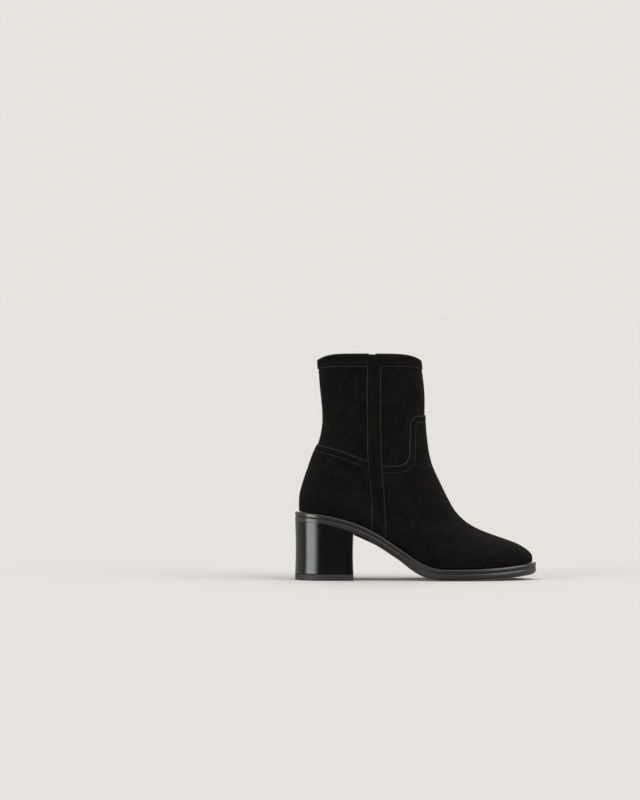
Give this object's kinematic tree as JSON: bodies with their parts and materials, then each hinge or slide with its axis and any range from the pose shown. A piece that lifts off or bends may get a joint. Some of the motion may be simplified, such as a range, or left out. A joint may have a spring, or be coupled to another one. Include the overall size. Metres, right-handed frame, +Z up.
{
  "type": "zip ankle boot",
  "caption": "Suede ankle boot for the right foot with a welted sole, a lacquered block heel and a zip up the inner side.",
  "frame": {"origin": "middle of the heel's tread, on the floor", "axes": "+X from heel to toe, +Y towards the inner side of the foot, +Z up"},
  "size_m": [0.2412, 0.0857, 0.2255],
  "materials": {
    "black_suede": "matte napped suede",
    "zip_fabric": "woven zip tape",
    "zip_metal": "dark nickel plate",
    "sock_leather": "smooth lining leather",
    "welt_leather": "inked and waxed edge",
    "outsole_rubber": "satin black edge",
    "heel_lacquer": "gloss lacquer",
    "top_piece_rubber": "matte"
  },
  "bodies": {
    "boot": {"upper": "black_suede", "collar_binding": "black_suede", "heel_counter": "black_suede", "vamp": "black_suede", "side_strip": "black_suede", "zip_facing": "black_suede", "zip_tape": "zip_fabric", "zip_teeth": "zip_metal", "zip_slider": "zip_metal", "insole": "sock_leather", "welt": "welt_leather", "outsole": "outsole_rubber", "heel_block": "heel_lacquer", "top_piece": "top_piece_rubber"},
    "pull": {"zip_pull": "zip_metal"}
  },
  "joints": [
    {"name": "pull_hinge", "type": "hinge", "parent": "boot", "child": "pull", "pos_m": [0.04965, 0.03786, 0.2084], "axis": [1, 0, 0], "range_deg": [0, 170]}
  ]
}
